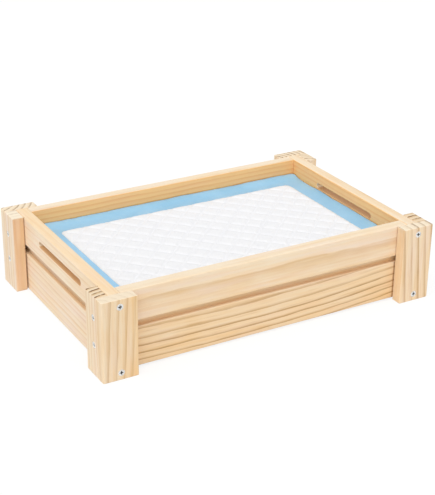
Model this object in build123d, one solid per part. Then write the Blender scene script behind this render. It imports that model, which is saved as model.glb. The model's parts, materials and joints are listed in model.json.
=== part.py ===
"""Hay feeder box: a shallow pine crate with a raised floor and a lift-out absorbent liner.

Millimetres, +Z up, +X along the long side. The origin is the middle of the footprint, on the ground.
Each corner post is an L of two boards. Upper and lower rails fit inside the posts, with a sunk strip between.
The floor board lies on cleats inside the upper rails. The loose liner on it is a backing film with a pad.
"""
import os

from build123d import *

# ---------------------------------------------------------------- driving dimensions

# Outside of the box
box_length = 450.0
box_width = 300.0
box_height = 100.0

# Corner posts: a face board on the long side covers the edge of a side board on the short side
post_thickness = 15.0
face_board_width = 44.0
side_board_width = 27.0

# Rails between the posts: the lower ones are set in a little, so a thin dark slit shows beside each post
rail_thickness = 15.0
lower_rail_setback = 1.0

# Front and back rails: upper board, gap under it, and clearance under the lower board
long_upper_rail_height = 40.0
long_rail_gap = 8.0
long_rail_ground_clearance = 2.0

# End rails: the same, with a wider gap
end_upper_rail_height = 38.0
end_rail_gap = 11.5
end_rail_ground_clearance = 0.5

# Strips that fill the gaps between upper and lower rails, set in from the upper rails' outer faces
strip_recess = 6.0

# Slot in each end rail
slot_length = 124.0
slot_height = 8.0
slot_above_film = 1.8

# Raised floor, its cleats and the liner on it: an absorbent pad in the middle of a backing film
liner_depth_below_rim = 21.5
film_thickness = 0.5
film_corner_radius = 6.0
film_border = 25.0
pad_thickness = 2.0
pad_corner_radius = 8.0
floor_thickness = 5.0
cleat_width = 12.0
cleat_height = 9.0

# Running and fitting clearances
liner_clearance = 1.0
floor_clearance = 0.5
hole_clearance = 0.05

# Eased edges
post_corner_round = 2.5
post_edge_round = 1.2
rail_outer_round = 1.8
rail_inner_round = 1.2
slot_edge_round = 0.6
post_joint_arris = 1.0
rail_joint_arris = 0.5
cleat_arris = 0.8
floor_arris = 0.4
pad_edge_round = 0.8

# Post screws: 4 mm countersunk wood screws
post_screw_diameter = 4.0
post_screw_head_diameter = 8.0
face_screw_length = 40.0
side_screw_length = 45.0
face_screw_from_top = 9.5
face_screw_from_ground = 9.0
side_upper_screw_from_top = 27.0
side_lower_screw_below_rail_top = 11.5

# Cleat screws: 3 mm countersunk wood screws
cleat_screw_diameter = 3.0
cleat_screw_head_diameter = 6.0
cleat_screw_length = 20.0
cleat_screws_per_long_cleat = 3
cleat_screws_per_end_cleat = 2
cleat_screw_end_distance = 45.0

# Shape shared by both screw sizes
head_sink = 0.2
head_rim = 0.4
thread_core_ratio = 0.7
thread_pitch_ratio = 0.45
thread_length_ratio = 0.6
point_length_ratio = 1.2
recess_span_ratio = 0.56
recess_wing_ratio = 0.15
recess_depth_ratio = 0.24
recess_taper = 9.0
recess_root_round_ratio = 0.04

# Floor brads
brad_diameter = 1.4
brad_head_diameter = 2.6
brad_head_thickness = 0.6
brad_sink = 0.2
brad_tip_cover = 0.8
brads_per_long_side = 4
brads_per_end = 2
brad_end_distance = 30.0

# ---------------------------------------------------------------- places worked out from them

half_length = box_length / 2
half_width = box_width / 2

# Faces where the post boards end and the rails begin
rail_outer_x = half_length - post_thickness
rail_outer_y = half_width - post_thickness
cavity_x = rail_outer_x - rail_thickness
cavity_y = rail_outer_y - rail_thickness

# Heights of the rails
long_upper_rail_bottom = box_height - long_upper_rail_height
long_lower_rail_top = long_upper_rail_bottom - long_rail_gap
end_upper_rail_bottom = box_height - end_upper_rail_height
end_lower_rail_top = end_upper_rail_bottom - end_rail_gap

# Heights of the floor stack
liner_top = box_height - liner_depth_below_rim
film_top = liner_top - pad_thickness
floor_top = film_top - film_thickness
cleat_top = floor_top - floor_thickness
cleat_bottom = cleat_top - cleat_height

# Slot centre
slot_middle_z = film_top + slot_above_film + slot_height / 2

# Screw lines: in the middle of the rail that each screw bites into
face_screw_x = rail_outer_x - rail_thickness / 2
side_screw_y = rail_outer_y - rail_thickness / 2
face_screw_heights = (face_screw_from_ground, box_height - face_screw_from_top)
side_screw_heights = (
    end_lower_rail_top - side_lower_screw_below_rail_top,
    box_height - side_upper_screw_from_top,
)
cleat_screw_z = (cleat_top + cleat_bottom) / 2

# A brad stops short of the underside of its cleat
brad_length = floor_thickness + cleat_height - brad_sink - brad_tip_cover

# How closely an edge has to lie at a named place to be picked
touch = 0.001


# ---------------------------------------------------------------- small helpers

def block(x_span, y_span, z_span):
    """A sawn block that fills three spans."""
    spans = (x_span, y_span, z_span)
    sizes = [high - low for low, high in spans]
    middles = [(low + high) / 2 for low, high in spans]
    return Pos(*middles) * Box(*sizes)


def edges_at(shape, along, **places):
    """The edges of a shape that run along one axis and lie at the given x, y or z."""
    found = shape.edges().filter_by(along)
    for name, place in places.items():
        axis = {"x": Axis.X, "y": Axis.Y, "z": Axis.Z}[name]
        found = found.filter_by_position(axis, place - touch, place + touch)
    return found


def edges_of_faces_at(shape, *places):
    """The edges, each once, round the flat faces of a shape at the given places: (axis, place)."""
    found = ShapeList()
    for axis, place in places:
        for face in shape.faces().filter_by_position(axis, place - touch, place + touch):
            found += [edge for edge in face.edges() if edge not in found]
    return found


def evenly(count, half_span):
    """Places for a row of fasteners, from one end of the row to the other."""
    if count == 1:
        return [0.0]
    step = 2 * half_span / (count - 1)
    return [-half_span + index * step for index in range(count)]


def facing(direction):
    """The turn that points a fastener's head along a horizontal direction, or up."""
    turns = {
        "front": Rot(90, 0, 0),
        "back": Rot(-90, 0, 0),
        "left": Rot(0, -90, 0),
        "right": Rot(0, 90, 0),
        "up": Rot(0, 0, 0),
    }
    return turns[direction]


# ---------------------------------------------------------------- fasteners

def wood_screw(diameter, head_diameter, length):
    """A countersunk cross-recess wood screw: head at the origin facing +Z, point down."""
    radius = diameter / 2
    head_radius = head_diameter / 2
    core = radius * thread_core_ratio
    cone_bottom = -(head_rim + head_radius - radius)
    point_top = -(length - diameter * point_length_ratio)
    thread_top = min(cone_bottom, -length * (1 - thread_length_ratio))
    pitch = diameter * thread_pitch_ratio
    turns = max(1, int((thread_top - point_top) / pitch))
    outline = [(0, 0), (head_radius, 0), (head_radius, -head_rim), (radius, cone_bottom)]
    for turn in range(turns):
        crest = thread_top - turn * pitch
        outline.append((radius, crest))
        outline.append((core, crest - pitch / 2))
    outline.append((radius, point_top))
    outline.append((0, -length))
    profile = make_face(Plane.XZ * Polyline(*outline, close=True))
    body = revolve(profile, Axis.Z)

    span = head_diameter * recess_span_ratio
    wing = head_diameter * recess_wing_ratio
    cross = Rectangle(span, wing) + Rectangle(wing, span)
    roots = cross.vertices().sort_by_distance((0, 0, 0))[:4]
    cross = fillet(roots, head_diameter * recess_root_round_ratio)
    depth = head_diameter * recess_depth_ratio
    return body - extrude(cross, amount=-depth, taper=recess_taper)


def screw_hole(diameter, head_diameter, length):
    """The countersunk hole that a wood screw sits in, with its clearance."""
    radius = diameter / 2 + hole_clearance
    head_radius = head_diameter / 2 + hole_clearance
    cone_top = -head_rim
    cone_bottom = cone_top - (head_radius - radius)
    mouth = head_sink + hole_clearance
    bottom = -(length + hole_clearance)
    outline = [
        (0, mouth),
        (head_radius, mouth),
        (head_radius, cone_top),
        (radius, cone_bottom),
        (radius, bottom),
        (0, bottom),
    ]
    return revolve(make_face(Plane.XZ * Polyline(*outline, close=True)), Axis.Z)


def brad(diameter, head_diameter, length):
    """A flat-headed brad: head at the origin facing +Z, point down."""
    radius = diameter / 2
    head_radius = head_diameter / 2
    point_top = -(length - diameter)
    outline = [
        (0, 0),
        (head_radius, 0),
        (head_radius, -brad_head_thickness),
        (radius, -brad_head_thickness),
        (radius, point_top),
        (0, -length),
    ]
    return revolve(make_face(Plane.XZ * Polyline(*outline, close=True)), Axis.Z)


def brad_hole(diameter, head_diameter, length):
    """The hole that a brad fills, with its clearance."""
    radius = diameter / 2 + hole_clearance
    head_radius = head_diameter / 2 + hole_clearance
    mouth = brad_sink + hole_clearance
    head_bottom = -(brad_head_thickness + hole_clearance)
    bottom = -(length + hole_clearance)
    outline = [
        (0, mouth),
        (head_radius, mouth),
        (head_radius, head_bottom),
        (radius, head_bottom),
        (radius, bottom),
        (0, bottom),
    ]
    return revolve(make_face(Plane.XZ * Polyline(*outline, close=True)), Axis.Z)


def place_all(shape, places):
    """One copy of a shape at each place: (direction its head faces, x, y, z)."""
    return [Pos(x, y, z) * facing(direction) * shape for direction, x, y, z in places]


def cut_all(shape, tools):
    """A shape less each tool that reaches it."""
    for tool in tools:
        shape = shape - tool
    return shape


# ---------------------------------------------------------------- where the fasteners go

sides = (-1, 1)
face_name = {-1: "front", 1: "back"}
end_name = {-1: "left", 1: "right"}

face_screw_places = {
    y_side: [
        (face_name[y_side], x_side * face_screw_x, y_side * (half_width - head_sink), z)
        for x_side in sides
        for z in face_screw_heights
    ]
    for y_side in sides
}
side_screw_places = {
    x_side: [
        (end_name[x_side], x_side * (half_length - head_sink), y_side * side_screw_y, z)
        for y_side in sides
        for z in side_screw_heights
    ]
    for x_side in sides
}

# The cleat screws are driven from inside, so a screw in the front cleat has its head facing back
cleat_face_x = cavity_x - cleat_width + head_sink
cleat_face_y = cavity_y - cleat_width + head_sink
long_cleat_row = evenly(cleat_screws_per_long_cleat, cavity_x - cleat_screw_end_distance)
end_cleat_row = evenly(cleat_screws_per_end_cleat, cavity_y - cleat_width - cleat_screw_end_distance)
long_cleat_screw_places = {
    y_side: [(face_name[-y_side], x, y_side * cleat_face_y, cleat_screw_z) for x in long_cleat_row]
    for y_side in sides
}
end_cleat_screw_places = {
    x_side: [(end_name[-x_side], x_side * cleat_face_x, y, cleat_screw_z) for y in end_cleat_row]
    for x_side in sides
}

brad_z = floor_top - brad_sink
brad_x = cavity_x - cleat_width / 2
brad_y = cavity_y - cleat_width / 2
long_brad_row = evenly(brads_per_long_side, cavity_x - brad_end_distance)
end_brad_row = evenly(brads_per_end, cavity_y - cleat_width - brad_end_distance)
brad_places = [("up", x, y_side * brad_y, brad_z) for y_side in sides for x in long_brad_row]
brad_places += [("up", x_side * brad_x, y, brad_z) for x_side in sides for y in end_brad_row]

face_screw_hole = screw_hole(post_screw_diameter, post_screw_head_diameter, face_screw_length)
side_screw_hole = screw_hole(post_screw_diameter, post_screw_head_diameter, side_screw_length)
cleat_screw_hole = screw_hole(cleat_screw_diameter, cleat_screw_head_diameter, cleat_screw_length)
floor_brad_hole = brad_hole(brad_diameter, brad_head_diameter, brad_length)


# ---------------------------------------------------------------- posts

def post_face_board(x_side, y_side):
    """The post board on the long side: the full width of the post, with its outer edges rounded."""
    outer_x = x_side * half_length
    inner_x = x_side * (half_length - face_board_width)
    outer_y = y_side * half_width
    joint_y = y_side * rail_outer_y
    shape = block(sorted((outer_x, inner_x)), sorted((outer_y, joint_y)), (0, box_height))
    shape = fillet(edges_at(shape, Axis.Z, x=outer_x, y=outer_y), post_corner_round)
    shape = fillet(edges_at(shape, Axis.Z, x=inner_x, y=outer_y), post_edge_round)
    for z in (0, box_height):
        shape = fillet(edges_at(shape, Axis.X, y=outer_y, z=z), post_edge_round)
    shape = chamfer(edges_of_faces_at(shape, (Axis.Y, joint_y)), post_joint_arris)
    return cut_all(shape, place_all(face_screw_hole, face_screw_places[y_side]))


def post_side_board(x_side, y_side):
    """The post board on the short side: it butts against the back of the face board."""
    outer_x = x_side * half_length
    joint_x = x_side * rail_outer_x
    joint_y = y_side * rail_outer_y
    inner_y = y_side * (rail_outer_y - side_board_width)
    shape = block(sorted((outer_x, joint_x)), sorted((joint_y, inner_y)), (0, box_height))
    shape = fillet(edges_at(shape, Axis.Z, x=outer_x, y=inner_y), post_edge_round)
    for z in (0, box_height):
        shape = fillet(edges_at(shape, Axis.Y, x=outer_x, z=z), post_edge_round)
    joint_edges = edges_of_faces_at(shape, (Axis.X, joint_x), (Axis.Y, joint_y))
    shape = chamfer(joint_edges, post_joint_arris)
    return cut_all(shape, place_all(side_screw_hole, side_screw_places[x_side]))


# ---------------------------------------------------------------- rails

def long_rail(y_side, low, high, setback=0.0):
    """A rail along the front or back, between the two end rails."""
    outer_y = y_side * (rail_outer_y - setback)
    inner_y = y_side * (cavity_y - setback)
    half_run = cavity_x - setback
    shape = block((-half_run, half_run), sorted((outer_y, inner_y)), (low, high))
    shape = fillet(edges_at(shape, Axis.X, y=outer_y), rail_outer_round)
    shape = fillet(edges_at(shape, Axis.X, y=inner_y), rail_inner_round)
    ends = edges_of_faces_at(shape, (Axis.X, -half_run), (Axis.X, half_run))
    shape = chamfer(ends, rail_joint_arris)
    screws = side_screw_places[-1] + side_screw_places[1]
    shape = cut_all(shape, place_all(side_screw_hole, screws))
    return cut_all(shape, place_all(cleat_screw_hole, long_cleat_screw_places[y_side]))


def end_rail(x_side, low, high, setback=0.0):
    """A rail across an end, from the front face boards to the back ones."""
    outer_x = x_side * (rail_outer_x - setback)
    inner_x = x_side * (cavity_x - setback)
    shape = block(sorted((outer_x, inner_x)), (-rail_outer_y, rail_outer_y), (low, high))
    shape = fillet(edges_at(shape, Axis.Y, x=outer_x), rail_outer_round)
    shape = fillet(edges_at(shape, Axis.Y, x=inner_x), rail_inner_round)
    ends = edges_of_faces_at(shape, (Axis.Y, -rail_outer_y), (Axis.Y, rail_outer_y))
    shape = chamfer(ends, rail_joint_arris)
    screws = face_screw_places[-1] + face_screw_places[1]
    shape = cut_all(shape, place_all(face_screw_hole, screws))
    shape = cut_all(shape, place_all(side_screw_hole, side_screw_places[x_side]))
    return cut_all(shape, place_all(cleat_screw_hole, end_cleat_screw_places[x_side]))


def slotted_end_rail(x_side):
    """The upper end rail, with a long round-ended slot just above the liner's film."""
    shape = end_rail(x_side, end_upper_rail_bottom, box_height)
    middle_x = x_side * (rail_outer_x + cavity_x) / 2
    outline = Plane(origin=(middle_x, 0, slot_middle_z), x_dir=(0, 1, 0), z_dir=(1, 0, 0))
    slot = extrude(outline * SlotOverall(slot_length, slot_height), amount=rail_thickness / 2, both=True)
    shape = shape - slot
    mouth = shape.edges().filter_by_position(Axis.Y, -slot_length / 2, slot_length / 2)
    mouth = mouth.filter_by_position(Axis.Z, slot_middle_z - slot_height / 2, slot_middle_z + slot_height / 2)
    mouth = mouth.filter_by(lambda edge: abs(edge.center().X - middle_x) > rail_thickness / 2 - touch)
    return fillet(mouth, slot_edge_round)


def long_strip(y_side):
    """The strip in the gap between the front or back rails, flush with the upper one inside."""
    outer_y = y_side * (rail_outer_y - strip_recess)
    inner_y = y_side * cavity_y
    heights = (long_lower_rail_top, long_upper_rail_bottom)
    return block((-cavity_x, cavity_x), sorted((outer_y, inner_y)), heights)


def end_strip(x_side):
    """The strip in the gap between the rails of an end, flush with the upper one inside."""
    outer_x = x_side * (rail_outer_x - strip_recess)
    inner_x = x_side * cavity_x
    heights = (end_lower_rail_top, end_upper_rail_bottom)
    return block(sorted((outer_x, inner_x)), (-rail_outer_y, rail_outer_y), heights)


# ---------------------------------------------------------------- floor

def long_cleat(y_side):
    """A floor bearer along the front or back upper rail."""
    joint_y = y_side * cavity_y
    free_y = y_side * (cavity_y - cleat_width)
    shape = block((-cavity_x, cavity_x), sorted((joint_y, free_y)), (cleat_bottom, cleat_top))
    shape = chamfer(edges_at(shape, Axis.X, y=free_y), cleat_arris)
    shape = cut_all(shape, place_all(cleat_screw_hole, long_cleat_screw_places[y_side]))
    return cut_all(shape, place_all(floor_brad_hole, brad_places))


def end_cleat(x_side):
    """A floor bearer across an end, between the two long cleats."""
    joint_x = x_side * cavity_x
    free_x = x_side * (cavity_x - cleat_width)
    half_run = cavity_y - cleat_width
    shape = block(sorted((joint_x, free_x)), (-half_run, half_run), (cleat_bottom, cleat_top))
    shape = chamfer(edges_at(shape, Axis.Y, x=free_x), cleat_arris)
    shape = cut_all(shape, place_all(cleat_screw_hole, end_cleat_screw_places[x_side]))
    return cut_all(shape, place_all(floor_brad_hole, brad_places))


def floor_board():
    """The plywood floor, which drops in between the upper rails onto the cleats."""
    half_x = cavity_x - floor_clearance
    half_y = cavity_y - floor_clearance
    shape = block((-half_x, half_x), (-half_y, half_y), (cleat_top, floor_top))
    shape = chamfer(shape.edges().filter_by(Axis.Z), floor_arris)
    return cut_all(shape, place_all(floor_brad_hole, brad_places))


def liner_film():
    """The liner's waterproof backing film, cut to drop in between the upper rails."""
    half_x = cavity_x - liner_clearance
    half_y = cavity_y - liner_clearance
    shape = block((-half_x, half_x), (-half_y, half_y), (floor_top, film_top))
    return fillet(shape.edges().filter_by(Axis.Z), film_corner_radius)


def liner_pad():
    """The liner's absorbent pad, bonded to the middle of the film."""
    half_x = cavity_x - liner_clearance - film_border
    half_y = cavity_y - liner_clearance - film_border
    shape = block((-half_x, half_x), (-half_y, half_y), (film_top, liner_top))
    shape = fillet(shape.edges().filter_by(Axis.Z), pad_corner_radius)
    return fillet(shape.faces().sort_by(Axis.Z)[-1].edges(), pad_edge_round)


# ---------------------------------------------------------------- sub-parts

parts = {}

for y_side in sides:
    for x_side in sides:
        corner = f"{face_name[y_side]}_{end_name[x_side]}_post"
        parts[f"{corner}_face_board"] = post_face_board(x_side, y_side)
        parts[f"{corner}_side_board"] = post_side_board(x_side, y_side)

for y_side in sides:
    parts[f"{face_name[y_side]}_upper_rail"] = long_rail(y_side, long_upper_rail_bottom, box_height)
    lower_rail = long_rail(y_side, long_rail_ground_clearance, long_lower_rail_top, lower_rail_setback)
    parts[f"{face_name[y_side]}_lower_rail"] = lower_rail
    parts[f"{face_name[y_side]}_gap_strip"] = long_strip(y_side)
    parts[f"{face_name[y_side]}_floor_cleat"] = long_cleat(y_side)

for x_side in sides:
    parts[f"{end_name[x_side]}_upper_rail"] = slotted_end_rail(x_side)
    lower_rail = end_rail(x_side, end_rail_ground_clearance, end_lower_rail_top, lower_rail_setback)
    parts[f"{end_name[x_side]}_lower_rail"] = lower_rail
    parts[f"{end_name[x_side]}_gap_strip"] = end_strip(x_side)
    parts[f"{end_name[x_side]}_floor_cleat"] = end_cleat(x_side)

parts["floor_board"] = floor_board()
parts["liner_film"] = liner_film()
parts["liner_pad"] = liner_pad()

face_screw = wood_screw(post_screw_diameter, post_screw_head_diameter, face_screw_length)
side_screw = wood_screw(post_screw_diameter, post_screw_head_diameter, side_screw_length)
cleat_screw = wood_screw(cleat_screw_diameter, cleat_screw_head_diameter, cleat_screw_length)
floor_brad = brad(brad_diameter, brad_head_diameter, brad_length)

for side in sides:
    parts[f"{face_name[side]}_post_screws"] = Compound(place_all(face_screw, face_screw_places[side]))
    parts[f"{end_name[side]}_post_screws"] = Compound(place_all(side_screw, side_screw_places[side]))

cleat_screw_places = [
    place
    for group in (long_cleat_screw_places, end_cleat_screw_places)
    for side in sides
    for place in group[side]
]
parts["cleat_screws"] = Compound(place_all(cleat_screw, cleat_screw_places))
parts["floor_brads"] = Compound(place_all(floor_brad, brad_places))

os.makedirs("parts", exist_ok=True)
for name, shape in parts.items():
    export_step(shape, f"parts/{name}.step")
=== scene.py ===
"""The looks of a pine hay feeder box, on a plain pale floor in soft studio light.

Each board has its own growth rings, worked out in the board's own millimetres: along its grain, across its
wide face and through its depth. The rings are one solid pattern, so a board's faces, edges and ends agree.
"""
import json
import math
import random
from dataclasses import dataclass, replace

import bmesh
import bpy
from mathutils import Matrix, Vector, noise


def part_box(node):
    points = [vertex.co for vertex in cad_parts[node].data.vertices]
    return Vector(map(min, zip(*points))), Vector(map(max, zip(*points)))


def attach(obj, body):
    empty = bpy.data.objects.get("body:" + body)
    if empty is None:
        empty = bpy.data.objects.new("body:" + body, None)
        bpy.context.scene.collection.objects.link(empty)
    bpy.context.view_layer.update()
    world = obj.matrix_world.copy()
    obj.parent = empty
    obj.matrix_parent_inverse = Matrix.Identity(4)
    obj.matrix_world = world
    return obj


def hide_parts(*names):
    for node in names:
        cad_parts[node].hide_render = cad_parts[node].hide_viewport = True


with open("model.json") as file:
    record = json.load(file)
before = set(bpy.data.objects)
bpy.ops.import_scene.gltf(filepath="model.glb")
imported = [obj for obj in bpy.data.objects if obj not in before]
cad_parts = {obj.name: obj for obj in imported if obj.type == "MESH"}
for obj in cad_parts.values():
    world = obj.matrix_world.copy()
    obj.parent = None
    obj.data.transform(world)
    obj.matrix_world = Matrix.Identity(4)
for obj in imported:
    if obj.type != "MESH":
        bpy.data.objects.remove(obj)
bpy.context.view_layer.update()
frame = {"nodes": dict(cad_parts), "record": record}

MM = 0.001
MM_VECTOR = (MM, MM, MM)

# The photograph's height in pixels, and its camera: the sensor in millimetres and the place in metres
IMAGE_HEIGHT = 495
SENSOR_SIZE = 36.0
FOCAL_LENGTH_IN_PIXELS = 1239.7
CAMERA_TARGET = Vector((0.0652, 0.1049, 0.0))
CAMERA_DISTANCE = 1.6968
CAMERA_AZIMUTH = math.radians(30.03)
CAMERA_ELEVATION = math.radians(24.667)
CAMERA_ROLL = math.radians(0.692)

# Light: a white dome that fills the shade, and one wide soft lamp high in front, a little to the left
DOME_STRENGTH = 0.62
KEY_STRENGTH = 1.50
KEY_DIRECTION = Vector((-0.36, -0.36, 0.86))
KEY_SPREAD = math.radians(70)

# The floor, in metres: its side, and how far it lies below the feet, so that no two faces share a plane
FLOOR_SIZE = 14.0
FLOOR_GAP = 0.0001


# ---------------------------------------------------------------- small helpers for node materials

def paint(red, green, blue):
    """A colour as a screen shows it, from 0 to 255, turned into linear light."""
    shares = [value / 255 for value in (red, green, blue)]
    linear = [c / 12.92 if c <= 0.04045 else ((c + 0.055) / 1.055) ** 2.4 for c in shares]
    return (*linear, 1.0)


def join(socket, value):
    """Feeds a node's input with a signal, a number, a vector or a colour."""
    if isinstance(value, Signal):
        socket.id_data.links.new(value.socket, socket)
    else:
        socket.default_value = value


def add(tree, kind, inputs, output=0, **settings):
    """Adds a shader node, sets it, feeds it, and gives one of its outputs as a signal."""
    node = tree.nodes.new("ShaderNode" + kind)
    for name, value in settings.items():
        setattr(node, name, value)
    for name, value in inputs.items():
        join(node.inputs[name], value)
    return Signal(node.outputs[output])


class Signal:
    """A value that varies over a surface: a node's output, so that formulas read as formulas."""

    def __init__(self, socket):
        self.socket = socket
        self.tree = socket.id_data

    def math(self, operation, *others):
        return add(self.tree, "Math", dict(enumerate((self, *others))), operation=operation)

    def __add__(self, other):
        return self.math("ADD", other)

    def __sub__(self, other):
        return self.math("SUBTRACT", other)

    def __mul__(self, other):
        return self.math("MULTIPLY", other)

    def __truediv__(self, other):
        return self.math("DIVIDE", other)

    def __pow__(self, other):
        return self.math("POWER", other)

    def inverse(self):
        """One less the value."""
        return (self * -1.0) + 1.0

    def rise(self, low, high):
        """0 up to low, 1 from high on, and a smooth step between."""
        inputs = {"Value": self, "From Min": low, "From Max": high}
        return add(self.tree, "MapRange", inputs, interpolation_type="SMOOTHSTEP")

    def vector(self, operation, other, output=0):
        return add(self.tree, "VectorMath", {0: self, 1: other}, output, operation=operation)

    def parts(self):
        """The three numbers of a vector."""
        node = self.tree.nodes.new("ShaderNodeSeparateXYZ")
        join(node.inputs[0], self)
        return [Signal(socket) for socket in node.outputs]


def vector_of(x, y, z):
    """A vector made of three signals."""
    return add(x.tree, "CombineXYZ", {"X": x, "Y": y, "Z": z})


# Where a mix node that is set to colours has its inputs and its output
MIX_SHARE = 0
MIX_LOW = 6
MIX_HIGH = 7
MIX_RESULT = 2


def mix(share, low, high):
    """A colour between two, by a share from 0 to 1."""
    inputs = {MIX_SHARE: share, MIX_LOW: low, MIX_HIGH: high}
    return add(share.tree, "Mix", inputs, MIX_RESULT, data_type="RGBA")


def cloud(place, stretch, detail=2.0):
    """Soft noise from 0 to 1, with grains of the given size along each axis of place."""
    cells = place.vector("DIVIDE", stretch)
    return add(place.tree, "TexNoise", {"Vector": cells, "Detail": detail, "Roughness": 0.5, "Scale": 1.0})


def swing(place, stretch, detail=2.0):
    """Soft noise about 0, mostly from -1 to 1."""
    return (cloud(place, stretch, detail) - 0.5) * 4.0


def between(value, low, high, softness):
    """1 between two values and 0 outside, with a smooth step of the given width past each."""
    return value.rise(low, low + softness) * value.rise(high, high + softness).inverse()


def new_group(name, inputs, outputs):
    """An empty node group, with its inputs as signals by name, and the node that takes its outputs."""
    tree = bpy.data.node_groups.new(name, "ShaderNodeTree")
    for socket_name, kind in inputs.items():
        tree.interface.new_socket(name=socket_name, in_out="INPUT", socket_type="NodeSocket" + kind)
    for socket_name, kind in outputs.items():
        tree.interface.new_socket(name=socket_name, in_out="OUTPUT", socket_type="NodeSocket" + kind)
    entry = tree.nodes.new("NodeGroupInput")
    signals = {socket_name: Signal(entry.outputs[socket_name]) for socket_name in inputs}
    return tree, signals, tree.nodes.new("NodeGroupOutput")


def new_material(name, metallic=0.0):
    """A material with only its shader: the material, its tree and the shader node."""
    material = bpy.data.materials.new(name)
    material.use_nodes = True
    tree = material.node_tree
    shader = tree.nodes["Principled BSDF"]
    shader.inputs["Metallic"].default_value = metallic
    return material, tree, shader


def finish_with(shader, colour, roughness, height):
    """Feeds a shader its colour, its roughness and its relief, a height in millimetres."""
    join(shader.inputs["Base Color"], colour)
    join(shader.inputs["Roughness"], roughness)
    relief = add(height.tree, "Bump", {"Height": height, "Distance": MM, "Strength": 1.0})
    join(shader.inputs["Normal"], relief)


def place_and_normal(tree):
    """The place in metres in the object's frame, and the surface's direction."""
    node = tree.nodes.new("ShaderNodeTexCoord")
    return Signal(node.outputs["Object"]), Signal(node.outputs["Normal"])


def place_in_millimetres(tree):
    """The place in the object's frame, in millimetres."""
    place, _ = place_and_normal(tree)
    return place.vector("DIVIDE", MM_VECTOR)


def paint_node(name, material):
    """Gives a CAD node a material in each of its slots."""
    for slot in frame["nodes"][name].material_slots:
        slot.material = material


# ---------------------------------------------------------------- pine

EARLYWOOD = paint(246, 228, 200)
EARLYWOOD_WARM = paint(247, 207, 150)
# Honey colours: partly the wood's own warmer colour, partly painted warm bounce light and shade on faces
# turned a given way
EARLYWOOD_HONEY = paint(255, 207, 142)
LATEWOOD = paint(210, 175, 136)
LATEWOOD_WARM = paint(188, 146, 90)
# Painted warm bounce light and shade on the late wood, as above
LATEWOOD_HONEY = paint(238, 166, 94)
# Painted shade: the colour that faces in recesses darken to
RECESS_SHADE_COLOUR = paint(216, 168, 116)
FIBRE_MARK = paint(190, 148, 104)
END_GRAIN = paint(250, 236, 212)
END_GRAIN_DULL = paint(224, 192, 148)
END_STROKE = paint(112, 66, 18)
# Painted shadow: the dark line where a rail passes behind a post's proud edge
PAINTED_JOINT_SHADOW = paint(154, 94, 36)
NO_TINT = (1.0, 1.0, 1.0, 1.0)
PINK_TINT = (0.985, 0.96, 1.13, 1.0)

# Shares of a ring at which its dark wood starts and ends, and at which it is pale again
DARKENING_START = 0.22
DARKENING_END = 0.95
RING_END = 1.0

# How far, in millimetres or rings, one step of a board's seed moves it in the noise
SEED_STEP = (731.0, 173.0, 397.0)
SEED_RINGS = 19.0

# Other places in the noise, for patterns that don't follow the others
APART = (300.0, 0.0, 0.0)
FAR_APART = (900.0, 0.0, 0.0)

RECESS_SHADE_SOFTNESS = 2.0           # width of the soft edge of the painted recess shade
JOINT_SHADOW_CORE = 0.4             # half the width of the darkest part of a painted joint shadow
JOINT_SHADOW_EDGE = 1.3             # half the width of the whole painted shadow line

PINE_INPUTS = {
    "Place": "Vector",
    "End": "Float",
    "Honey tint and bounce shade": "Float",
    "Spacing": "Float",
    "Phase": "Float",
    "Tilt": "Float",
    "Curve": "Float",
    "Lean": "Float",
    "Bow": "Float",
    "Wave": "Float",
    "Crispness": "Float",
    "Contrast": "Float",
    "Warmth": "Float",
    "Warmth across": "Float",
    "Pink": "Float",
    "Tone": "Float",
    "End tone": "Float",
    "End strokes": "Float",
    "Raw": "Float",
    "Joint shadow": "Float",
    "Seed": "Float",
}


@dataclass(frozen=True)
class Grain:
    """How one board was sawn, its colours and the light and shade painted on it: in millimetres, in degrees,
    and otherwise as shares.
    """
    spacing: float = 8.0         # between growth rings
    phase: float = 0.0           # place of the board's middle between two rings
    tilt: float = 0.0            # turn of the rings' outward direction, from across to through the board
    curve: float = 120.0         # radius of the rings
    lean: float = 0.0            # sideways drift of the grain, for each mm along
    bow: float = 0.0             # the same, for each square mm
    wave: float = 1.0            # wavering of the grain
    crispness: float = 2.0       # how late in a ring the wood darkens
    contrast: float = 0.5        # depth of the dark latewood lines
    edge_contrast: float = 0.5   # share of that depth on the narrow edges
    warmth: float = 0.25         # from pale to warm
    warmth_across: float = 0.0   # change of warmth, for each mm across
    pink: float = 0.1            # from yellow to pink
    tone: float = 1.0            # lightness
    end_tone: float = 0.3        # from pale to dull end grain
    end_strokes: float = 0.4     # depth of the dark rings in the end grain
    top_light_warmth: float = 0.05     # painted light: warmth of the faces that look up, apart from the sides', for how light falls on them
    honey_tint_and_bounce_shade: tuple = (0, 0, 0)     # direction, in the frame, of the faces with a honey tone, partly the wood's own colour and partly painted warm bounce light and shade: longer is deeper
    recess_shade: tuple = (0, 0)          # heights, in the frame, between which some faces get painted shade, as in recesses
    recess_shade_facing: tuple = (0, 0, 1)    # direction of those faces, in the frame: shorter is paler
    joint_shadow: float = 1.0           # depth of a rail's painted shadow line beside a post's edge
    seed: float = 0.0


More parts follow.
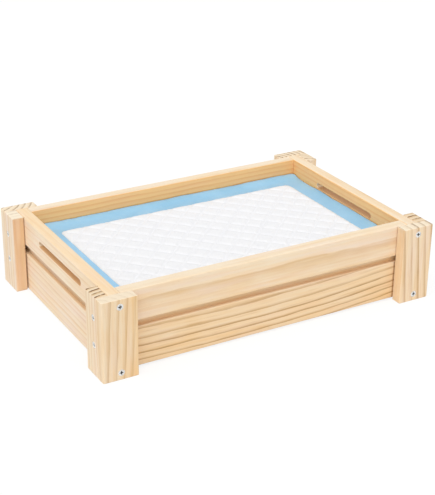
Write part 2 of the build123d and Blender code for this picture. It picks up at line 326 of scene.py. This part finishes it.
def make_pine():
    """Planed pine as one node group: growth rings, fibres, fine marks and end grain, with painted warm
    bounce light, recess shade and joint shadows.
    """
    outputs = {"Colour": "Color", "Roughness": "Float", "Height": "Float"}
    tree, given, results = new_group("pine", PINE_INPUTS, outputs)
    place = given["Place"]
    along, across, depth = place.parts()
    seeded = place.vector("ADD", vector_of(*(given["Seed"] * step for step in SEED_STEP)))

    # Where a fibre that passes here crosses the middle of the board
    drift = given["Lean"] * along + given["Bow"] * along * along
    waver = swing(seeded, (190.0, 55.0, 55.0)) * 1.4 + swing(seeded, (48.0, 11.0, 11.0)) * 0.45
    waver += swing(seeded, (60.0, 4.5, 4.5)) * 0.28
    inner = seeded.vector("ADD", APART)
    inner_waver = swing(inner, (110.0, 40.0, 40.0)) * 0.9 + swing(inner, (30.0, 9.0, 9.0)) * 0.30
    root = across - drift - waver * given["Wave"]
    sunk = depth - inner_waver * given["Wave"]
    cosine, sine = given["Tilt"].math("COSINE"), given["Tilt"].math("SINE")
    outward = root * cosine + sunk * sine
    sideways = sunk * cosine - root * sine
    reach = outward + given["Curve"]
    radius = (reach * reach + sideways * sideways).math("SQRT") - given["Curve"]

    # Pale wood that darkens slowly towards the end of each ring, and then turns pale at once
    ring = radius / given["Spacing"] + given["Phase"]
    year = ring.math("FRACT")
    count = ring.math("FLOOR") + given["Seed"] * SEED_RINGS
    vigour = add(tree, "TexWhiteNoise", {"W": count}, noise_dimensions="1D")
    turned_pale = year.rise(DARKENING_END, RING_END)
    late = (year.rise(DARKENING_START, DARKENING_END) ** given["Crispness"]) * turned_pale.inverse()
    patchy = cloud(seeded, (70.0, 6.0, 6.0), 1.0).rise(0.28, 0.62) * 0.35 + 0.65
    false_year = (ring * 2.3 + swing(seeded, (60.0, 9.0, 9.0)) * 0.35).math("FRACT")
    false_late = (false_year.rise(0.3, 0.9) ** 2.0) * false_year.rise(0.9, 1.0).inverse()
    false_late = false_late * cloud(seeded, (45.0, 8.0, 8.0), 1.0).rise(0.45, 0.7)
    line = late * (vigour * 0.6 + 0.4) * patchy + false_late * 0.22

    # Fibres and fine marks along the grain
    fibres = swing(seeded, (42.0, 0.9, 0.9), 3.0)
    streaks = swing(seeded, (130.0, 3.2, 3.2), 2.0)
    figure = swing(seeded, (38.0, 7.0, 7.0), 2.0)
    marks = cloud(seeded, (7.0, 0.42, 0.42), 1.0).rise(0.66, 0.80)
    mottle = swing(seeded, (70.0, 17.0, 17.0), 3.0)
    blush = swing(seeded.vector("ADD", FAR_APART), (85.0, 10.0, 10.0), 3.0)

    warm = given["Warmth"] + given["Warmth across"] * across + line * 0.25
    warm += mottle * 0.20 + streaks * 0.17 + figure * 0.12
    warm = warm.math("MINIMUM", 1.0).math("MAXIMUM", 0.0)
    # Honey tone on faces turned a given way: partly the wood's colour, partly painted warm bounce light and
    # shade
    early = mix(given["Honey tint and bounce shade"], mix(warm, EARLYWOOD, EARLYWOOD_WARM), EARLYWOOD_HONEY)
    dark = mix(given["Honey tint and bounce shade"], mix(warm, LATEWOOD, LATEWOOD_WARM), LATEWOOD_HONEY)
    share = line * given["Contrast"] + fibres * 0.05 + streaks * 0.06 + figure * 0.03
    face = mix(share.math("MAXIMUM", 0.0), early, dark)
    face = mix(marks * 0.25, face, FIBRE_MARK)
    pink = (blush * 0.45 + given["Pink"]).math("MINIMUM", 1.0).math("MAXIMUM", 0.0)
    face = face.vector("MULTIPLY", mix(pink, NO_TINT, PINK_TINT)).vector("MULTIPLY", given["Tone"])
    # Painted shade in recesses, where some faces darken between two heights
    face = mix(given["Raw"] * (streaks * 0.12 + 0.85), face, RECESS_SHADE_COLOUR)
    # Painted shadow: a dark line where a rail passes behind a post's edge
    face = mix(given["Joint shadow"] * (fibres * 0.10 + 0.6), face, PAINTED_JOINT_SHADOW)

    # End grain: pale cut fibres with darker ring ends
    pores = cloud(seeded, (3.0, 0.7, 0.7), 2.0)
    ripening = year.rise(0.1, 0.8) * given["End strokes"] * 0.35
    dullness = (given["End tone"] + (pores - 0.5) * 0.9 + ripening).rise(0.0, 1.0)
    cut = mix(dullness, END_GRAIN, END_GRAIN_DULL)
    broken = cloud(seeded, (9.0, 4.0, 4.0), 2.0).rise(0.34, 0.56) * 0.75 + 0.25
    stroke = year.rise(0.58, 0.82) * turned_pale.inverse() * (vigour * 0.8 + 0.2) * broken
    cut = mix(stroke * given["End strokes"], cut, END_STROKE)
    end = given["End"].rise(0.45, 0.9)
    join(results.inputs["Colour"], mix(end, face, cut))

    gloss = (fibres * 0.03 - line * 0.08) + 0.60
    join(results.inputs["Roughness"], gloss + end * 0.16)
    relief = line * 0.035 + fibres * 0.010 - marks * 0.03
    rough_end = (pores - 0.5) * 0.10 - stroke * 0.15
    join(results.inputs["Height"], relief * end.inverse() + rough_end * end)
    return tree


def beside_posts(name, local, facing):
    """1 on the thin painted shadow line down a rail's outer face where it passes behind a post's edge."""
    low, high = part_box(name)
    along = board_axes(name)[0]
    outward = 1 - along
    post = "front_right_post_face_board" if along == 0 else "back_left_post_side_board"
    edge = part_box(post)[0][along] / MM
    gap = (local[along].math("ABSOLUTE") - edge).math("ABSOLUTE")
    outer = facing[outward] * math.copysign(1.0, low[outward] + high[outward])
    return gap.rise(JOINT_SHADOW_CORE, JOINT_SHADOW_EDGE).inverse() * outer.rise(0.4, 0.9)


def board_axes(name):
    """The axes along a board, across it and through it: its longest, middle and shortest sides."""
    low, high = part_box(name)
    return sorted(range(3), key=lambda axis: low[axis] - high[axis])


def pine_board(name, grain):
    """A board's own material: the pine group in the board's millimetres."""
    material, tree, shader = new_material("pine_" + name)
    place, normal = place_and_normal(tree)
    low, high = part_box(name)
    middle = (low + high) / 2
    local = place.vector("SUBTRACT", tuple(middle)).vector("DIVIDE", MM_VECTOR).parts()
    along, across, depth = board_axes(name)
    facing = normal.parts()
    # Painted warm bounce light and shade on the faces turned the given way, with some of the wood's own
    # honey colour
    honey_tint_and_bounce_shade = normal.vector("DOT_PRODUCT", grain.honey_tint_and_bounce_shade, output="Value")
    # Painted light: the faces that look up take their own warmth, for how light falls on them
    top = facing[2].rise(0.3, 0.9)
    edge = facing[depth].math("ABSOLUTE").rise(0.3, 0.8).inverse()
    # Painted shade in recesses: faces turned a given way, between two heights
    recess_shade = normal.vector("DOT_PRODUCT", grain.recess_shade_facing, output="Value").rise(0.2, 0.7)
    recess_shade = recess_shade * between(place.parts()[2] / MM, *grain.recess_shade, RECESS_SHADE_SOFTNESS)
    # Painted shadow beside the posts' edges
    joint_shadow = beside_posts(name, local, facing) * grain.joint_shadow if "_rail" in name else 0.0

    group = tree.nodes.new("ShaderNodeGroup")
    group.node_tree = PINE
    values = {
        "Place": vector_of(local[along], local[across], local[depth]),
        "End": facing[along].math("ABSOLUTE"),
        "Honey tint and bounce shade": honey_tint_and_bounce_shade.rise(0.2, 0.9) * Vector(grain.honey_tint_and_bounce_shade).length,
        "Spacing": grain.spacing,
        "Phase": grain.phase,
        "Tilt": math.radians(grain.tilt),
        "Curve": grain.curve,
        "Lean": grain.lean,
        "Bow": grain.bow,
        "Wave": grain.wave,
        "Crispness": grain.crispness,
        "Contrast": (edge * (grain.edge_contrast - 1.0) + 1.0) * grain.contrast,
        "Warmth": top * (grain.top_light_warmth - grain.warmth) + grain.warmth,
        "Warmth across": grain.warmth_across,
        "Pink": top.inverse() * grain.pink,
        "Tone": grain.tone,
        "End tone": grain.end_tone,
        "End strokes": grain.end_strokes,
        "Raw": recess_shade,
        "Joint shadow": joint_shadow,
        "Seed": grain.seed,
    }
    for socket_name, value in values.items():
        join(group.inputs[socket_name], value)
    colour, roughness, height = (Signal(socket) for socket in group.outputs)
    finish_with(shader, colour, roughness, height)
    return material


PINE = make_pine()

# The boards that the photograph shows, in whole or in part
# Their values also set painted light: shade in recesses and beside the posts, warm bounce shade on inner
# faces, the tops' separate warmth, and the gap strips' low tone, which paints the shade of their recess
SEEN_GRAIN = {
    "front_lower_rail": Grain(
        spacing=6.7, phase=0.975, tilt=218.4, curve=52.3, lean=0.0237, bow=0.000184, wave=1.0, crispness=4.0,
        contrast=1.2, warmth=0.58, warmth_across=-0.003, pink=0.0, tone=0.98, recess_shade=(48, 54),
        recess_shade_facing=(0, 0, 0.5), seed=48.75),
    "front_upper_rail": Grain(
        spacing=13.0, phase=0.35, tilt=72, curve=90, lean=0.004, wave=1.5, contrast=0.35, warmth=0.32,
        warmth_across=-0.006, pink=0.18, top_light_warmth=0.18, joint_shadow=0.3, seed=2.0),
    # Its low tone paints the shade of the recess it sits in, and its dark bottom is painted shade too
    "front_gap_strip": Grain(
        spacing=5.0, phase=0.4, tilt=60, curve=80, wave=0.8, contrast=0.4, warmth=0.55, pink=0.05, tone=0.92,
        recess_shade=(50, 54), recess_shade_facing=(0, -0.45, 0), seed=15.0),
    "left_upper_rail": Grain(
        spacing=6.0, phase=0.2, tilt=35, curve=80, lean=-0.02, wave=1.2, contrast=0.25, warmth=0.15,
        pink=0.20, tone=1.01, top_light_warmth=0.48, recess_shade=(70, 85), seed=3.0),
    "left_lower_rail": Grain(
        spacing=7.0, phase=0.6, tilt=20, curve=100, lean=0.015, wave=1.3, contrast=0.30, warmth=0.18,
        pink=0.30, recess_shade=(47, 53), recess_shade_facing=(0, 0, 0.48), seed=4.0),
    # Its low tone paints the shade of the recess it sits in
    "left_gap_strip": Grain(
        spacing=5.0, phase=0.1, tilt=60, curve=80, wave=0.8, contrast=0.4, warmth=0.55, pink=0.45, tone=0.81,
        seed=16.0),
    "right_upper_rail": Grain(
        spacing=6.2, phase=0.5, tilt=15, curve=120, wave=1.2, crispness=1.5, contrast=0.55, warmth=0.3,
        top_light_warmth=0.2, honey_tint_and_bounce_shade=(-1, 0, 0), recess_shade=(70, 85), seed=9.0),
    "back_upper_rail": Grain(
        spacing=6.5, phase=0.1, tilt=15, curve=120, wave=1.2, crispness=1.5, contrast=0.6, warmth=0.3,
        honey_tint_and_bounce_shade=(0, -1, 0), seed=8.0),
    "front_left_post_face_board": Grain(
        spacing=9.5, phase=0.62, tilt=30, curve=60, lean=0.055, wave=1.2, contrast=0.60, warmth=0.50,
        warmth_across=0.008, pink=0.0, tone=0.975, end_tone=0.28, end_strokes=0.12, seed=5.0),
    "front_left_post_side_board": Grain(
        spacing=7.34, phase=0.36, tilt=-12, curve=140, lean=0.03, wave=0.5, contrast=0.42, warmth=0.15,
        pink=0.15, end_tone=0.4, end_strokes=1.5, seed=5.25),
    "front_right_post_face_board": Grain(
        spacing=10.6, phase=0.54, curve=130, lean=-0.087, wave=0.5, contrast=0.95, edge_contrast=0.25,
        warmth=0.38, pink=0.12, end_tone=0.2, end_strokes=0.55, seed=4.75),
    "front_right_post_side_board": Grain(
        spacing=9.0, phase=0.3, curve=60, wave=0.8, contrast=0.6, warmth=0.25, end_tone=0.5, end_strokes=1.0,
        seed=12.0),
    # Its honey tint and slightly lower tone partly paint the shade on its edge that faces the front
    "back_left_post_side_board": Grain(
        spacing=8.0, phase=0.5, curve=110, wave=0.5, contrast=0.45, edge_contrast=1.5, warmth=0.06, pink=0.3,
        tone=0.985, end_tone=0.0, end_strokes=0.3, honey_tint_and_bounce_shade=(0, -0.6, 0), seed=10.0),
    "back_left_post_face_board": Grain(
        spacing=7.5, phase=0.1, tilt=-40, curve=45, wave=0.9, contrast=0.5, warmth=0.15, pink=0.25,
        tone=0.97, end_tone=0.25, end_strokes=0.65, seed=11.0),
    "back_right_post_face_board": Grain(
        spacing=7.0, phase=0.3, tilt=20, curve=45, wave=0.9, contrast=0.5, warmth=0.2, end_tone=0.3,
        end_strokes=0.9, seed=13.0),
    "back_right_post_side_board": Grain(
        spacing=7.0, phase=0.8, tilt=30, curve=45, wave=0.9, contrast=0.5, warmth=0.2, end_tone=0.35,
        end_strokes=0.8, seed=14.0),
}


# What the hidden boards share with the seen ones of their kind, painted shade included: the strips' low tone
# and the lower rails' painted shade on the ledge under the strip
SHARED_TRAITS = {
    "_gap_strip": {"tone": 0.86, "warmth": 0.5, "contrast": 0.4},
    "_lower_rail": {"recess_shade": (48, 54), "recess_shade_facing": (0, 0, 0.5)},
}


def other_grain(name, index):
    """A likely grain for a board that the photograph hides: steady for the same index."""
    draw = random.Random(index)
    grain = Grain(
        spacing=draw.uniform(6.0, 10.0),
        phase=draw.random(),
        tilt=draw.choice((0, 15, 30, 75, 165, 180)),
        curve=draw.uniform(70, 160),
        lean=draw.uniform(-0.03, 0.03),
        wave=draw.uniform(0.5, 1.3),
        contrast=draw.uniform(0.4, 0.9),
        warmth=draw.uniform(0.12, 0.4),
        pink=draw.uniform(0.0, 0.35),
        tone=draw.uniform(0.98, 1.01),
        end_tone=draw.uniform(0.15, 0.6),
        end_strokes=draw.uniform(0.3, 0.7),
        seed=20.0 + index,
    )
    for ending, traits in SHARED_TRAITS.items():
        if name.endswith(ending):
            grain = replace(grain, **traits)
    return grain


def dress_boards():
    """Every solid pine board gets its own grain."""
    slots = {part["node"]: part["material_slot"] for part in frame["record"]["subparts"]}
    boards = sorted(name for name in frame["nodes"] if slots[name].endswith("_pine"))
    for index, name in enumerate(boards):
        grain = SEEN_GRAIN.get(name) or other_grain(name, index)
        paint_node(name, pine_board(name, grain))


# ---------------------------------------------------------------- plywood

VENEER = paint(240, 214, 176)
VENEER_FIGURE = paint(214, 176, 130)
VENEER_MARK = paint(186, 142, 96)
PLY_PALE = paint(228, 196, 150)
PLY_DARK = paint(176, 128, 82)
PLY = 1.0                    # thickness of one ply, in millimetres


def plywood():
    """Birch plywood: pale faces with the broad figure of peeled veneer, and thin plies at the edges."""
    material, tree, shader = new_material("birch_plywood")
    place, normal = place_and_normal(tree)
    local = place.vector("DIVIDE", MM_VECTOR)
    level = local.parts()[2]
    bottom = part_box("floor_board")[0].z / MM
    figure = swing(local, (120.0, 34.0, 34.0), 3.0)
    rings = (figure * 3.2).math("FRACT")
    fibres = swing(local, (26.0, 0.8, 0.8), 3.0)
    marks = cloud(local, (5.0, 0.4, 0.4), 1.0).rise(0.64, 0.78)
    band = (rings.rise(0.2, 0.9) * rings.rise(0.9, 1.0).inverse()) * 0.35 + fibres * 0.05
    face = mix(band.math("MAXIMUM", 0.0), VENEER, VENEER_FIGURE)
    face = mix(marks * 0.3, face, VENEER_MARK)
    ply = ((level - bottom) / PLY).math("PINGPONG", 1.0)
    edge = mix(ply.rise(0.2, 0.8), PLY_PALE, PLY_DARK)
    side = normal.parts()[2].math("ABSOLUTE").rise(0.3, 0.8).inverse()
    finish_with(shader, mix(side, face, edge), fibres * 0.03 + 0.58, fibres * 0.012 - marks * 0.03)
    return material


# ---------------------------------------------------------------- metal

ZINC_BRIGHT = paint(240, 240, 238)
ZINC_DULL = paint(206, 206, 204)
STEEL_BRIGHT = paint(198, 198, 196)
STEEL_DULL = paint(160, 160, 158)
# Painted shade in the screws' recesses
SCREW_RECESS_SHADE = paint(66, 60, 56)
RECESS_RIM = 0.25            # depth at which a recess starts to take painted shade, in millimetres
RECESS_FLOOR = 1.3           # depth from which it is darkest


def steel(name, tint, shade, roughness, depth_of=None):
    """Steel with fine tumbling marks and dull spots, and with painted shade in recesses where their depth is
    given.
    """
    material, tree, shader = new_material(name, metallic=1.0)
    local = place_in_millimetres(tree)
    patches = cloud(local, (2.2, 2.2, 2.2), 3.0)
    scratches = cloud(local, (0.25, 0.25, 1.4), 2.0)
    colour = mix(patches.rise(0.35, 0.7), tint, shade)
    rough = (patches - 0.5) * 0.25 + scratches * 0.10 + roughness
    if depth_of:
        # Painted shade that deepens into the recesses
        deep = depth_of(local.parts()).rise(RECESS_RIM, RECESS_FLOOR)
        colour = mix(deep, colour, SCREW_RECESS_SHADE)
        rough = rough + deep * 0.3
    finish_with(shader, colour, rough, (scratches - 0.5) * 0.02 + (patches - 0.5) * 0.02)
    return material


def dress_post_screws():
    """The bright heads in the posts: each group's heads look one way, and painted shade in their recesses
    deepens inwards.
    """
    for node, axis, side in (
            ("front_post_screws", 1, -1), ("back_post_screws", 1, 1),
            ("left_post_screws", 0, -1), ("right_post_screws", 0, 1)):
        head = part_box(node)[side > 0][axis] / MM

        def depth_of(parts, axis=axis, side=side, head=head):
            return (parts[axis] - head) * -float(side)

        paint_node(node, steel(node + "_zinc", ZINC_BRIGHT, ZINC_DULL, roughness=0.20, depth_of=depth_of))


def dress_hidden_fasteners():
    """The duller screws of the cleats, and the plain steel brads of the floor board."""
    paint_node("cleat_screws", steel("cleat_screw_zinc", ZINC_BRIGHT, ZINC_DULL, roughness=0.28))
    paint_node("floor_brads", steel("bright_steel", STEEL_BRIGHT, STEEL_DULL, roughness=0.35))


# ---------------------------------------------------------------- liner: a film with a pad on it

FILM_BLUE = paint(158, 208, 240)
FILM_BLUE_DEEP = paint(146, 200, 234)
PAD_WHITE = paint(245, 245, 246)
PAD_SHADE = paint(222, 224, 234)
EMBOSSED_DOTS = 0.8          # in each millimetre of the film
CORNER_CELLS = 5             # rows of faces in a rounded corner


def grid_lines(half, corner, step):
    """Places from -half to half, closer together beside both ends."""
    inner = half - corner
    cells = max(1, round(2 * inner / step))
    middle = [-inner + 2 * inner * index / cells for index in range(cells + 1)]
    beside = [corner * index / CORNER_CELLS for index in range(1, CORNER_CELLS + 1)]
    return [-inner - gap for gap in reversed(beside)] + middle + [inner + gap for gap in beside]


def round_corner(x, y, half_x, half_y, corner):
    """Pulls a point of a square corner in, so that the square becomes a quarter disc."""
    past_x, past_y = abs(x) - (half_x - corner), abs(y) - (half_y - corner)
    if past_x <= 0 or past_y <= 0:
        return x, y
    shrink = max(past_x, past_y) / math.hypot(past_x, past_y)
    new_x = half_x - corner + past_x * shrink
    new_y = half_y - corner + past_y * shrink
    return math.copysign(new_x, x), math.copysign(new_y, y)


def soft_slab(name, node, corner, step, top, bottom):
    """A closed slab with rounded corners over a node's footprint, between two heights, in millimetres.

    The heights, top and bottom, are functions of a point's place from the slab's middle and of its distances
    from the slab's edges.
    """
    low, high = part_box(node)
    middle, half = (low + high) / 2 / MM, (high - low) / 2 / MM
    xs = grid_lines(half.x, corner, step)
    ys = grid_lines(half.y, corner, step)
    mesh = bmesh.new()

    def layer(height):
        rows = []
        for x in xs:
            row = []
            for y in ys:
                px, py = round_corner(x, y, half.x, half.y, corner)
                z = height(px, py, half.x - abs(px), half.y - abs(py))
                row.append(mesh.verts.new(((middle.x + px) * MM, (middle.y + py) * MM, z * MM)))
            rows.append(row)
        return rows

    def rim(rows):
        first, last = rows[0], rows[-1]
        right = [row[-1] for row in rows[1:-1]]
        left = [row[0] for row in reversed(rows[1:-1])]
        return first + right + list(reversed(last)) + left

    upper, lower = layer(top), layer(bottom)
    for i in range(len(xs) - 1):
        for j in range(len(ys) - 1):
            mesh.faces.new((upper[i][j], upper[i + 1][j], upper[i + 1][j + 1], upper[i][j + 1]))
            mesh.faces.new((lower[i][j], lower[i][j + 1], lower[i + 1][j + 1], lower[i + 1][j]))
    upper_rim, lower_rim = rim(upper), rim(lower)
    for k in range(len(upper_rim)):
        after = (k + 1) % len(upper_rim)
        mesh.faces.new((upper_rim[k], upper_rim[after], lower_rim[after], lower_rim[k]))
    bmesh.ops.recalc_face_normals(mesh, faces=mesh.faces)
    for face in mesh.faces:
        face.smooth = True
    data = bpy.data.meshes.new(name)
    mesh.to_mesh(data)
    mesh.free()
    piece = bpy.data.objects.new(name, data)
    bpy.context.scene.collection.objects.link(piece)
    return piece


def ease(value, low, high):
    """A smooth step from 0 to 1."""
    share = min(1.0, max(0.0, (value - low) / (high - low)))
    return share * share * (3 - 2 * share)


# The film and its loose border, in millimetres where they aren't shares
FILM_CORNER = 6.0
FILM_STEP = 4.0              # between the rows of its mesh
FILM_LIFT = 0.9              # how far the border's edge stands off the floor board, on average
FILM_RIPPLE = 1.0            # how far its ripples rise above that
FILM_TROUGH = -0.6           # the lowest that a ripple goes, as a share of that rise
FILM_CURL = 3.2              # how far the border climbs the back wall
LIFT_START = 4               # distance from the pad at which the border starts to lift
CURL_START = 8               # distance from the pad at which it starts to climb
LONG_RIPPLE = 31
SHORT_RIPPLE = 11
SHORT_SHARE = 0.4            # height of the short ripples, as a share of the long ones'
LONG_SLICE = 4.2             # where the long ripples cut through the noise
SHORT_SLICE = 9.0            # where the short ripples do


def make_film():
    """The blue backing film: flat under the pad, with a border that ripples and lifts at the walls."""
    low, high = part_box("liner_film")
    pad_low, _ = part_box("liner_pad")
    base, thickness = low.z / MM, (high.z - low.z) / MM
    border = (pad_low.x - low.x) / MM

    def lift(x, y, from_x, from_y):
        outside = 1 - ease(min(from_x, from_y), 0, border - LIFT_START)
        ripple = noise.noise(Vector((x / LONG_RIPPLE, y / LONG_RIPPLE, LONG_SLICE)))
        ripple += SHORT_SHARE * noise.noise(Vector((x / SHORT_RIPPLE, y / SHORT_RIPPLE, SHORT_SLICE)))
        curl = FILM_CURL * (1 - ease(from_y, 0, border - CURL_START)) if y > 0 else 0.0
        return outside * (FILM_LIFT + FILM_RIPPLE * max(FILM_TROUGH, ripple)) + curl

    def bottom(x, y, from_x, from_y):
        return base + lift(x, y, from_x, from_y)

    def top(x, y, from_x, from_y):
        return bottom(x, y, from_x, from_y) + thickness

    return soft_slab("blue_backing_film", "liner_film", FILM_CORNER, FILM_STEP, top, bottom)


# The pad, in millimetres where they aren't shares
PAD_CORNER = 8.0
PAD_STEP = 1.6               # between the rows of its mesh
PAD_PUFF = 1.1               # its height between the quilting lines, as a share of its thickness
PAD_EDGE = 5                 # width of its bonded edge
PAD_EDGE_PRESS = 0.75        # share of the height that the bond takes away
PAD_SWELL = 0.3
PAD_SWELL_SIZE = 40
PAD_SWELL_SLICE = 1.0        # where the swell cuts through the noise
QUILT_PITCH = 30.0
QUILT_CHANNEL = 0.34         # share of the pitch that a pressed line takes
QUILT_DEPTH = 0.72           # share of the height that it takes away


def quilt_channel(x, y):
    """1 in the middle of a pressed quilting line, and 0 on the puffed cloth between."""
    fold = min(abs((x + y) / QUILT_PITCH % 1 - 0.5), abs((x - y) / QUILT_PITCH % 1 - 0.5)) * 2
    return 1 - ease(fold, 0.0, QUILT_CHANNEL)


def make_pad():
    """The white pad: puffed between pressed quilting lines, and thin along its bonded edge."""
    low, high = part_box("liner_pad")
    base, thickness = low.z / MM, (high.z - low.z) / MM

    def top(x, y, from_x, from_y):
        edge = 1 - ease(min(from_x, from_y), 0, PAD_EDGE)
        swell = PAD_SWELL * noise.noise(Vector((x / PAD_SWELL_SIZE, y / PAD_SWELL_SIZE, PAD_SWELL_SLICE)))
        height = PAD_PUFF * thickness * (1 - QUILT_DEPTH * quilt_channel(x, y)) * (1 - PAD_EDGE_PRESS * edge)
        return base + height + swell * (1 - edge)

    def bottom(x, y, from_x, from_y):
        return base

    return soft_slab("white_absorbent_pad", "liner_pad", PAD_CORNER, PAD_STEP, top, bottom)


def film_material():
    """Light blue polyethylene film with a fine pressed pattern."""
    material, tree, shader = new_material("blue_film")
    local = place_in_millimetres(tree)
    haze = cloud(local, (46.0, 46.0, 46.0), 3.0)
    creases = cloud(local, (9.0, 2.0, 9.0), 3.0)
    dots = add(tree, "TexVoronoi", {"Vector": local, "Scale": EMBOSSED_DOTS}, feature="F1")
    colour = mix(haze.rise(0.3, 0.7), FILM_BLUE, FILM_BLUE_DEEP)
    finish_with(shader, colour, creases * 0.15 + 0.30, creases * 0.10 + dots.rise(0.1, 0.5) * 0.02)
    return material


def pad_material():
    """White non-woven cloth: short bonded fibres over a soft core."""
    material, tree, shader = new_material("nonwoven_pad")
    local = place_in_millimetres(tree)
    fibres = cloud(local, (3.2, 0.35, 0.6), 3.0)
    crossed = cloud(local, (0.35, 3.2, 0.6), 3.0)
    tone = cloud(local, (14.0, 14.0, 14.0), 3.0)
    web = fibres.math("MAXIMUM", crossed)
    colour = mix(web.rise(0.45, 0.7) * 0.3 + tone.rise(0.4, 0.8) * 0.12, PAD_WHITE, PAD_SHADE)
    finish_with(shader, colour, web * 0.1 + 0.80, web * 0.12)
    shader.inputs["Sheen Weight"].default_value = 0.15
    return material


def make_liner():
    """The film and the pad, which lift out together."""
    film, pad = make_film(), make_pad()
    film.data.materials.append(film_material())
    pad.data.materials.append(pad_material())
    for piece, node in ((film, "liner_film"), (pad, "liner_pad")):
        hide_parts(node)
        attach(piece, "liner")


# ---------------------------------------------------------------- stage

FLOOR_PALE = paint(243, 243, 243)
FLOOR_PALER = paint(246, 246, 246)
FLOOR_UNDER_GLOW = paint(128, 128, 128)    # under the glow that makes it read as white
FLOOR_GLOW = 0.80


def seen_share(tree):
    """1 for what the camera sees, straight or in a reflection, and 0 for light on its way to a surface."""
    path = tree.nodes.new("ShaderNodeLightPath")
    camera, glossy, through = (
        Signal(path.outputs[name]) for name in ("Is Camera Ray", "Is Glossy Ray", "Is Transmission Ray"))
    return camera.math("MAXIMUM", glossy).math("MAXIMUM", through)


def make_floor():
    """A plain pale floor that reads as white, with the object's soft shadow still on it."""
    mesh = bpy.data.meshes.new("floor")
    half = FLOOR_SIZE / 2
    level = -FLOOR_GAP
    corners = [(-half, -half, level), (half, -half, level), (half, half, level), (-half, half, level)]
    mesh.from_pydata(corners, [], [(0, 1, 2, 3)])
    floor = bpy.data.objects.new("floor", mesh)
    bpy.context.scene.collection.objects.link(floor)
    material, tree, shader = new_material("pale_floor")
    place, _ = place_and_normal(tree)
    seen = seen_share(tree)
    speckle = cloud(place, (0.4, 0.4, 0.4), 3.0)
    dimmed = mix(seen, mix(speckle, FLOOR_PALE, FLOOR_PALER), FLOOR_UNDER_GLOW)
    join(shader.inputs["Base Color"], dimmed)
    shader.inputs["Roughness"].default_value = 0.9
    shader.inputs["Specular IOR Level"].default_value = 0.0
    shader.inputs["Emission Color"].default_value = (1, 1, 1, 1)
    join(shader.inputs["Emission Strength"], seen * FLOOR_GLOW)
    floor.data.materials.append(material)


def make_light():
    """A dome that shows as white, and one wide soft lamp."""
    world = bpy.data.worlds.new("studio")
    bpy.context.scene.world = world
    world.use_nodes = True
    tree = world.node_tree
    background = tree.nodes["Background"]
    background.inputs["Color"].default_value = (1, 1, 1, 1)
    join(background.inputs["Strength"], seen_share(tree) * (1 - DOME_STRENGTH) + DOME_STRENGTH)
    lamp = bpy.data.lights.new("key", "SUN")
    lamp.energy = KEY_STRENGTH
    lamp.angle = KEY_SPREAD
    key = bpy.data.objects.new("key", lamp)
    key.rotation_mode = "QUATERNION"
    key.rotation_quaternion = KEY_DIRECTION.to_track_quat("Z", "Y")
    bpy.context.scene.collection.objects.link(key)


def make_camera():
    """The photograph's view, a little rolled."""
    camera = bpy.data.objects.new("camera", bpy.data.cameras.new("camera"))
    camera.data.sensor_width = SENSOR_SIZE
    camera.data.lens = FOCAL_LENGTH_IN_PIXELS * SENSOR_SIZE / IMAGE_HEIGHT
    flat = math.cos(CAMERA_ELEVATION)
    back = Vector((
        -math.sin(CAMERA_AZIMUTH) * flat,
        -math.cos(CAMERA_AZIMUTH) * flat,
        math.sin(CAMERA_ELEVATION),
    ))
    camera.location = CAMERA_TARGET + back * CAMERA_DISTANCE
    level = back.to_track_quat("Z", "Y").to_matrix()
    right, up = level.col[0], level.col[1]
    turned_right = right * math.cos(CAMERA_ROLL) + up * math.sin(CAMERA_ROLL)
    turned_up = up * math.cos(CAMERA_ROLL) - right * math.sin(CAMERA_ROLL)
    turned = level.copy()
    turned.col[0], turned.col[1] = turned_right, turned_up
    camera.rotation_mode = "QUATERNION"
    camera.rotation_quaternion = turned.to_quaternion()
    bpy.context.scene.collection.objects.link(camera)
    bpy.context.scene.camera = camera


make_camera()
make_light()
make_floor()
dress_boards()
paint_node("floor_board", plywood())
dress_post_screws()
dress_hidden_fasteners()
make_liner()

bpy.context.scene.view_settings.view_transform = "Standard"
